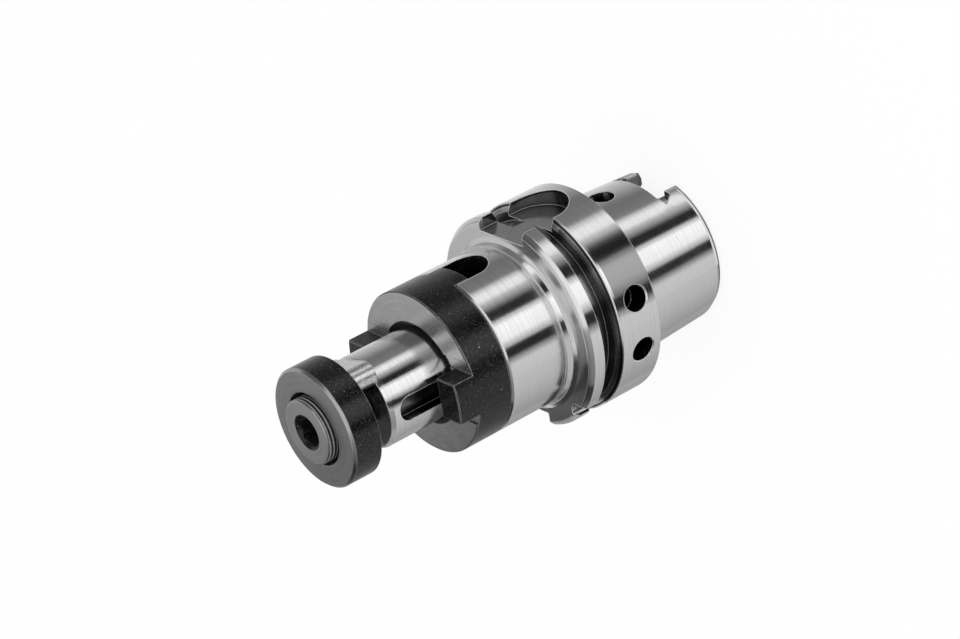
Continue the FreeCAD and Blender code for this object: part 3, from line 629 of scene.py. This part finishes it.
# %% Grooves in the screw's head
HEAD_RADIUS = 9.5 * MM
FIRST_GROOVE = 1.1 * MM
GROOVE_PITCH = 1.15 * MM
GROOVE_HALF_WIDTH = 0.30 * MM
GROOVE_DEPTH = 0.30 * MM
GROOVES = 5

for groove in range(GROOVES):
    middle = screw_high[2] - FIRST_GROOVE - groove * GROOVE_PITCH
    for offset in (-GROOVE_HALF_WIDTH, 0.0, GROOVE_HALF_WIDTH):
        # The middle of a flat face lies a little inside the round of its points.
        side = [face for face in shape.faces if abs(face.normal.z) < 0.1
                and face.calc_center_median().xy.length > HEAD_RADIUS * 0.97]
        parts = set(side)
        for face in side:
            parts.update(face.edges)
            parts.update(face.verts)
        bmesh.ops.bisect_plane(shape, geom=list(parts), dist=1e-7,
                               plane_co=(0, 0, middle + offset), plane_no=(0, 0, 1))
    for vertex in shape.verts:
        if abs(vertex.co.z - middle) < NEAR and vertex.co.xy.length > HEAD_RADIUS * 0.98:
            vertex.co.x *= 1 - GROOVE_DEPTH / HEAD_RADIUS
            vertex.co.y *= 1 - GROOVE_DEPTH / HEAD_RADIUS
open_edges = sum(1 for edge in shape.edges if len(edge.link_faces) != 2)
shape.to_mesh(core_mesh)
shape.free()
screw = bpy.data.objects.new("screw_head_and_core", core_mesh)
bpy.context.collection.objects.link(screw)
core_mesh.materials.clear()
core_mesh.materials.append(screw_black)
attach(screw, "screw")
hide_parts("clamping_screw")
print("screw core has", len(core_mesh.polygons), "faces, open edges", open_edges)

# %% [markdown]
# Geometry Nodes wind one ridge round the core: a grid whose long side becomes the
# helix and whose short side becomes the ridge's section. The grid has five columns, and
# the fifth lies on the first, so merging by distance closes it to a tube. The ridge
# starts and ends at nothing, as a cut thread runs out, which a Screw modifier can't do.
# Half widths are shares of the pitch.

# %% Thread as Geometry Nodes
STEPS_PER_TURN = 60.0
COLUMNS = 5
ROOT_HALF = 0.44
CREST_HALF = 0.08
RUNOUTS_PER_TURN = 3.0

tree = bpy.data.node_groups.new("wind_thread", "GeometryNodeTree")
for name in ("Pitch", "Turns", "Core Radius", "Crest Radius", "Start Height"):
    tree.interface.new_socket(name, in_out="INPUT", socket_type="NodeSocketFloat")
tree.interface.new_socket("Geometry", in_out="OUTPUT", socket_type="NodeSocketGeometry")
node = functools.partial(add_node, tree)
pitch, turn_count, core, crest, start = node("NodeGroupInput").outputs[:5]

steps = node("ShaderNodeMath", {0: turn_count, 1: STEPS_PER_TURN}, operation="MULTIPLY")
grid = node("GeometryNodeMeshGrid", {"Size X": 1.0, "Size Y": 1.0,
                                     "Vertices X": steps, "Vertices Y": COLUMNS})
index = node("GeometryNodeInputIndex")
row = node("ShaderNodeMath", {0: index, 1: COLUMNS}, operation="DIVIDE")
row = node("ShaderNodeMath", {0: row}, operation="FLOOR")
column = node("ShaderNodeMath", {0: index, 1: COLUMNS}, operation="FLOORED_MODULO")
column = node("ShaderNodeMath", {0: column, 1: COLUMNS - 1}, operation="FLOORED_MODULO")
centred = node("ShaderNodeMath", {0: column, 1: 1.5}, operation="SUBTRACT")
away = node("ShaderNodeMath", {0: centred}, operation="ABSOLUTE")
on_crest = node("ShaderNodeMath", {0: away, 1: 1.0}, operation="LESS_THAN")

# Turns from the start, and the run-out: 0 at both ends, 1 from a third of a turn on.
turned = node("ShaderNodeMath", {0: row, 1: STEPS_PER_TURN}, operation="DIVIDE")
left = node("ShaderNodeMath", {0: turn_count, 1: turned}, operation="SUBTRACT")
nearest = node("ShaderNodeMath", {0: turned, 1: left}, operation="MINIMUM")
runout = node("ShaderNodeMath", {0: nearest, 1: RUNOUTS_PER_TURN}, operation="MULTIPLY",
              use_clamp=True)

# Section of the ridge: its columns lie 1.5 and 0.5 from the middle, at root and crest.
width = node("ShaderNodeMapRange", {0: on_crest, 3: ROOT_HALF / 1.5, 4: CREST_HALF / 0.5})
shift = node("ShaderNodeMath", {0: centred, 1: width}, operation="MULTIPLY")
shift = node("ShaderNodeMath", {0: shift, 1: runout}, operation="MULTIPLY")
rise = node("ShaderNodeMath", {0: crest, 1: core}, operation="SUBTRACT")
lift = node("ShaderNodeMath", {0: on_crest, 1: runout}, operation="MULTIPLY")
reach = node("ShaderNodeMath", {0: rise, 1: lift, 2: core}, operation="MULTIPLY_ADD")

# Wind the section up.
angle = node("ShaderNodeMath", {0: turned, 1: math.tau}, operation="MULTIPLY")
cosine = node("ShaderNodeMath", {0: angle}, operation="COSINE")
sine = node("ShaderNodeMath", {0: angle}, operation="SINE")
x = node("ShaderNodeMath", {0: reach, 1: cosine}, operation="MULTIPLY")
y = node("ShaderNodeMath", {0: reach, 1: sine}, operation="MULTIPLY")
climbed = node("ShaderNodeMath", {0: turned, 1: shift}, operation="ADD")
z = node("ShaderNodeMath", {0: pitch, 1: climbed, 2: start}, operation="MULTIPLY_ADD")
place = node("ShaderNodeCombineXYZ", {0: x, 1: y, 2: z})
moved = node("GeometryNodeSetPosition", {"Geometry": grid, "Position": place})
merged = node("GeometryNodeMergeByDistance", {"Geometry": moved, "Distance": SAME_POINT})
real = node("GeometryNodeRealizeInstances", {"Geometry": merged})
coated = node("GeometryNodeSetMaterial", {"Geometry": real, "Material": screw_black})
node("NodeGroupOutput", {0: coated})
print("wind_thread has", len(tree.nodes), "nodes")

# %% [markdown]
# The node tree runs once on an empty mesh, and its result becomes a piece of its own
# that rides on the screw. The ridge's root is sunk a little into the core, so that no
# gap shows between them.

# %% Thread mesh
PITCH = 1.75 * MM
CREST = 5.95 * MM
ROOT_SINK = 0.1 * MM

turns = math.floor((SEAT - screw_low[2]) / PITCH) - 1
host = bpy.data.objects.new("thread_host", bpy.data.meshes.new("thread_host"))
bpy.context.collection.objects.link(host)
modifier = host.modifiers.new("thread", "NODES")
modifier.node_group = tree
sizes = {"Pitch": PITCH, "Turns": float(turns), "Core Radius": CORE - ROOT_SINK,
         "Crest Radius": CREST, "Start Height": screw_low[2] + PITCH / 2}
for item in tree.interface.items_tree:
    if item.in_out == "INPUT":
        modifier[item.identifier] = sizes[item.name]
graph = bpy.context.evaluated_depsgraph_get()
thread_mesh = bpy.data.meshes.new_from_object(host.evaluated_get(graph))
bpy.data.objects.remove(host)
shape = bmesh.new()
shape.from_mesh(thread_mesh)
bmesh.ops.recalc_face_normals(shape, faces=shape.faces)
open_edges = sum(1 for edge in shape.edges if len(edge.link_faces) != 2)
shape.to_mesh(thread_mesh)
shape.free()
thread = bpy.data.objects.new("screw_thread", thread_mesh)
bpy.context.collection.objects.link(thread)
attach(thread, "screw")
print("thread:", turns, "turns,", len(thread_mesh.polygons), "faces, open edges", open_edges)

# %% [markdown]
# Bright metal is a picture of its surroundings. The photo's studio was a grey room with
# two long softboxes and black flags beside them: that gives every cylinder the same
# bright, black and grey bands along its length. Here they are curved cards that only
# glossy rays see. They reach below the floor, because a camera that looks down on an
# upright cylinder sees in it what lies below the horizon. A picture of a studio on the
# world would do too, but a card is moved or toned by one number.

# %% Studio card
CARD_STEP = 3.0
CARD_FOOT = -2.4
CARD_TOP = 0.9


def card(name, start, end, tone_start, tone_end, low=CARD_FOOT, high=CARD_TOP, distance=1.2):
    steps = max(2, round(abs(end - start) / CARD_STEP))
    mesh = bpy.data.meshes.new(name)
    points, faces = [], []
    for i in range(steps + 1):
        angle = math.radians(start + (end - start) * i / steps)
        for height in (low, high):
            points.append((distance * math.cos(angle), distance * math.sin(angle), height))
    for i in range(steps):
        faces.append((2 * i, 2 * i + 1, 2 * i + 3, 2 * i + 2))
    mesh.from_pydata(points, [], faces)
    tones = mesh.attributes.new("tone", "FLOAT", "POINT")
    for i in range(steps + 1):
        for k in (0, 1):
            tones.data[2 * i + k].value = tone_start + (tone_end - tone_start) * i / steps
    material, node = new_material(name)
    tone = node("ShaderNodeAttribute", attribute_name="tone").outputs["Fac"]
    glow = node("ShaderNodeEmission", {"Color": (1, 1, 1, 1), "Strength": tone})
    node("ShaderNodeOutputMaterial", {"Surface": glow})
    material.cycles.emission_sampling = "NONE"
    mesh.materials.append(material)
    made = bpy.data.objects.new(name, mesh)
    bpy.context.collection.objects.link(made)
    made.visible_camera = False
    made.visible_diffuse = False
    made.visible_shadow = False
    made.visible_transmission = False
    return made


print("cards from", CARD_FOOT, "to", CARD_TOP, "m, unless they say otherwise")

# %% [markdown]
# A card is told its bearings in degrees round the arbor's axis, its tone at the start
# and the end, and sometimes its lower and upper edge and its distance in metres. Higher
# up the walls are darker. Three cards stand close and high at the back, where the flat
# front faces look, and the rear rim's round looks down on a grey table.

# %% Studio cards
LOWER_WALL = (CARD_FOOT, 0.3)
UPPER_WALL = (0.3, 2.0)
HIGH_BACK = (0.16, 0.55, 0.35)

cards = [
    ("wall_left_far", 200.0, 150.0, 0.88, 0.50, *LOWER_WALL),
    ("wall_left_turn", 150.0, 125.0, 0.50, 0.22, *LOWER_WALL),
    ("wall_left_near", 125.0, 95.0, 0.20, 0.25, *LOWER_WALL),
    ("wall_left_far_high", 200.0, 150.0, 0.45, 0.16, *UPPER_WALL),
    ("wall_left_high", 150.0, 95.0, 0.16, 0.12, *UPPER_WALL),
    ("softbox_narrow_edge", 95.0, 88.0, 0.60, 1.00),
    ("softbox_narrow", 88.0, 76.0, 1.15, 1.10),
    ("flag_left_edge", 76.0, 60.0, 0.80, 0.05),
    ("flag_left", 60.0, 47.0, 0.02, 0.02),
    ("softbox_main_left", 47.0, 40.0, 0.50, 1.10),
    ("softbox_main", 40.0, 18.0, 1.35, 1.20),
    ("softbox_main_right", 18.0, 8.0, 1.10, 0.45),
    ("flag_right", 8.0, -5.0, 0.02, 0.02),
    ("flag_right_edge", -5.0, -14.0, 0.15, 0.68),
    ("wall_right_near", -14.0, -60.0, 0.80, 0.62, *LOWER_WALL),
    ("wall_right_middle", -60.0, -100.0, 0.62, 0.40, *LOWER_WALL),
    ("wall_right_far", -100.0, -112.0, 0.40, 0.50, *LOWER_WALL),
    ("wall_right_high", -14.0, -112.0, 0.40, 0.10, *UPPER_WALL),
    ("wall_back", -112.0, -160.0, 0.40, 0.40, *LOWER_WALL),
    ("back_high_dark", 290.0, 216.0, 0.04, 0.06, *HIGH_BACK),
    ("back_high_turn", 216.0, 207.0, 0.06, 0.65, *HIGH_BACK),
    ("back_high_light", 207.0, 150.0, 0.65, 0.75, *HIGH_BACK),
]
for values in cards:
    card(*values)

table = card("table_low", 0.0, 360.0, 0.35, 0.35, CARD_FOOT - 0.01, CARD_FOOT)
shape = bmesh.new()
shape.from_mesh(table.data)
bmesh.ops.holes_fill(shape, edges=[edge for edge in shape.edges if edge.is_boundary
                                   and edge.verts[0].co.z < CARD_FOOT - 0.005], sides=0)
shape.to_mesh(table.data)
shape.free()
print(len(cards) + 1, "cards round the arbor")

# %% [markdown]
# The world is plain white to the camera and to glossy rays, as the photo's background
# is, and a plain level for the rest, so that shadows stay soft and pale.

# %% World
WORLD_LEVEL = 0.85

world = bpy.data.worlds.new("studio")
bpy.context.scene.world = world
world.use_nodes = True
world.node_tree.nodes.clear()
node = functools.partial(add_node, world.node_tree)
path = node("ShaderNodeLightPath")
seen = node("ShaderNodeMath", {0: path.outputs["Is Camera Ray"],
                               1: path.outputs["Is Glossy Ray"]}, operation="MAXIMUM")
seen = node("ShaderNodeMath", {0: seen, 1: path.outputs["Is Transmission Ray"]},
            operation="MAXIMUM")
strength = node("ShaderNodeMapRange", {0: seen, 3: WORLD_LEVEL, 4: 1.0})
sky = node("ShaderNodeBackground", {"Color": (1, 1, 1, 1), "Strength": strength})
node("ShaderNodeOutputWorld", {"Surface": sky})
print("world level", WORLD_LEVEL)

# %% [markdown]
# The floor is pale: the camera sees mostly its own white, and a share of its true
# shading keeps the arbor's shadow. Glossy rays pass it, so that the cylinders see the
# cards. From below it is clear, so that the hollow shank can be looked into, and it lies
# a hair under the rear rim, so that the two faces don't share one plane.

# %% Floor
FLOOR_HALF = 6.0
FLOOR_WHITE = 0.9
FLOOR_HEIGHT = -0.02 * MM

floor_mesh = bpy.data.meshes.new("floor")
corners = [(x * FLOOR_HALF, y * FLOOR_HALF, FLOOR_HEIGHT)
           for x, y in ((-1, -1), (1, -1), (1, 1), (-1, 1))]
floor_mesh.from_pydata(corners, [], [(0, 1, 2, 3)])
floor = bpy.data.objects.new("floor", floor_mesh)
bpy.context.collection.objects.link(floor)
floor.visible_glossy = False
material, node = new_material("pale_floor")
path = node("ShaderNodeLightPath")
share = node("ShaderNodeMath", {0: path.outputs["Is Camera Ray"], 1: FLOOR_WHITE},
             operation="MULTIPLY")
shaded = node("ShaderNodeBsdfDiffuse", {"Color": (1, 1, 1, 1)})
white = node("ShaderNodeEmission", {"Color": (1, 1, 1, 1), "Strength": 1.0})
both = node("ShaderNodeMixShader", {0: share, 1: shaded, 2: white})
below = node("ShaderNodeNewGeometry").outputs["Backfacing"]
clear = node("ShaderNodeBsdfTransparent", {"Color": (1, 1, 1, 1)})
both = node("ShaderNodeMixShader", {0: below, 1: both, 2: clear})
node("ShaderNodeOutputMaterial", {"Surface": both})
material.cycles.emission_sampling = "NONE"
floor_mesh.materials.append(material)
print("floor at", FLOOR_HEIGHT, "m")

# %% [markdown]
# One large soft lamp stands high on the camera's side. Glossy rays don't see it, because
# the cards already make all reflections.

# %% Lamp
LAMP_PLACE = Vector((0.9, 0.9, 1.5))
LAMP_AIM = Vector((0, 0, 0.06))
LAMP_SIZE = 1.0
LAMP_WATTS = 8.0

lamp_data = bpy.data.lights.new("key_softbox", "AREA")
lamp_data.shape = "RECTANGLE"
lamp_data.size = LAMP_SIZE
lamp_data.size_y = LAMP_SIZE
lamp_data.energy = LAMP_WATTS
lamp = bpy.data.objects.new("key_softbox", lamp_data)
bpy.context.collection.objects.link(lamp)
lamp.location = LAMP_PLACE
lamp.rotation_euler = (LAMP_AIM - LAMP_PLACE).to_track_quat("-Z", "Y").to_euler()
lamp.visible_glossy = False
print("lamp at", [round(value, 2) for value in lamp.location])
